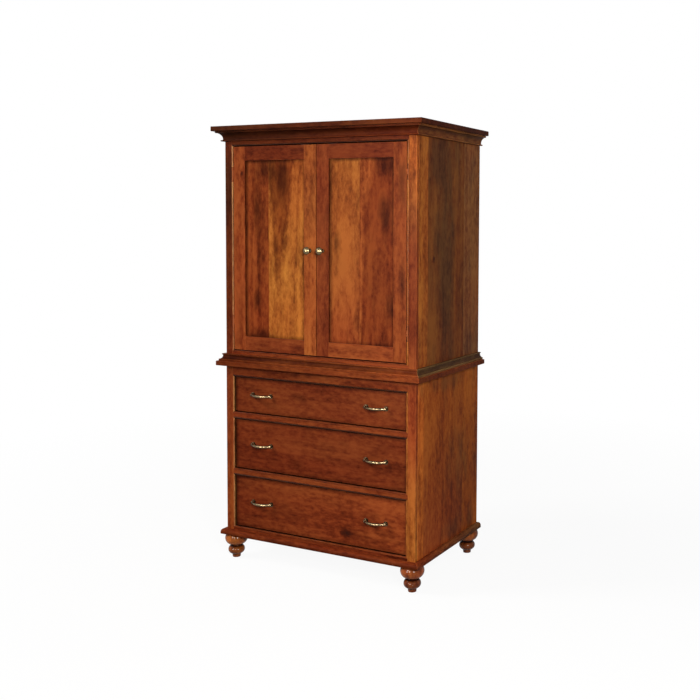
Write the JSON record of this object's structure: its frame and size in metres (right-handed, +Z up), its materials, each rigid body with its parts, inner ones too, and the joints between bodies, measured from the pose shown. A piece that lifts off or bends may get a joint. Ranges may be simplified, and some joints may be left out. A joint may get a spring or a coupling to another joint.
{
  "type": "armoire",
  "caption": "Wooden armoire with hinged flat-panel doors over a chest of drawers, moulded cornice, waist and base, bow pulls and turned bun feet.",
  "frame": {"origin": "on the floor, under the middle of the whole piece's footprint", "axes": "+Z up, the doors and drawers face -Y, +X to the viewer's right"},
  "size_m": [1.053, 0.6364, 1.926],
  "materials": {
    "frame_wood": "satin lacquer",
    "panel_wood": "satin lacquer",
    "drawer_wood": "satin lacquer",
    "side_wood": "satin lacquer",
    "moulding_wood": "satin lacquer",
    "bead_wood": "satin lacquer",
    "inner_wood": "plain sanded",
    "back_wood": "plain sanded",
    "pull_metal": "satin nickel",
    "hinge_metal": "dark bronzed",
    "peg_metal": "satin",
    "catch_plastic": "matt"
  },
  "bodies": {
    "carcass": {"base_front": "moulding_wood", "base_returns": "moulding_wood", "chest_back": "back_wood", "chest_bottom": "back_wood", "chest_bottom_rail": "frame_wood", "chest_left_side": "side_wood", "chest_right_side": "side_wood", "chest_stiles": "frame_wood", "chest_top": "moulding_wood", "chest_top_rail": "frame_wood", "cornice_front": "moulding_wood", "cornice_returns": "moulding_wood", "door_catches": "catch_plastic", "door_opening_beads": "bead_wood", "drawer_dividers": "frame_wood", "drawer_opening_beads": "bead_wood", "drawer_runners": "inner_wood", "feet": "moulding_wood", "hinge_frame_leaves": "hinge_metal", "hinge_pins": "hinge_metal", "shelf_pins": "peg_metal", "shelves": "frame_wood", "top_board": "moulding_wood", "upper_back": "back_wood", "upper_bottom_rail": "frame_wood", "upper_floor": "frame_wood", "upper_left_side": "side_wood", "upper_right_side": "side_wood", "upper_stiles": "frame_wood", "upper_top_rail": "frame_wood", "waist_front": "moulding_wood", "waist_returns": "moulding_wood"},
    "left_door": {"left_door_hinge_stile": "frame_wood", "left_door_meeting_stile": "frame_wood", "left_door_rails": "frame_wood", "left_door_panel": "panel_wood", "left_door_knob": "pull_metal", "left_door_hinge_leaves": "hinge_metal"},
    "right_door": {"right_door_hinge_stile": "frame_wood", "right_door_meeting_stile": "frame_wood", "right_door_rails": "frame_wood", "right_door_panel": "panel_wood", "right_door_knob": "pull_metal", "right_door_hinge_leaves": "hinge_metal"},
    "bottom_drawer": {"bottom_drawer_front": "drawer_wood", "bottom_drawer_sides": "inner_wood", "bottom_drawer_back": "inner_wood", "bottom_drawer_bottom": "inner_wood", "bottom_drawer_pulls": "pull_metal"},
    "middle_drawer": {"middle_drawer_front": "drawer_wood", "middle_drawer_sides": "inner_wood", "middle_drawer_back": "inner_wood", "middle_drawer_bottom": "inner_wood", "middle_drawer_pulls": "pull_metal"},
    "top_drawer": {"top_drawer_front": "drawer_wood", "top_drawer_sides": "inner_wood", "top_drawer_back": "inner_wood", "top_drawer_bottom": "inner_wood", "top_drawer_pulls": "pull_metal"}
  },
  "joints": [
    {"name": "left_door_swing", "type": "hinge", "parent": "carcass", "child": "left_door", "pos_m": [-0.4425, -0.27225, 1.392], "axis": [0, 0, -1], "range_deg": [0, 105]},
    {"name": "right_door_swing", "type": "hinge", "parent": "carcass", "child": "right_door", "pos_m": [0.4425, -0.27225, 1.392], "axis": [0, 0, 1], "range_deg": [0, 105]},
    {"name": "bottom_drawer_slide", "type": "slide", "parent": "carcass", "child": "bottom_drawer", "axis": [0, -1, 0], "range_m": [0, 0.4]},
    {"name": "middle_drawer_slide", "type": "slide", "parent": "carcass", "child": "middle_drawer", "axis": [0, -1, 0], "range_m": [0, 0.4]},
    {"name": "top_drawer_slide", "type": "slide", "parent": "carcass", "child": "top_drawer", "axis": [0, -1, 0], "range_m": [0, 0.4]}
  ]
}
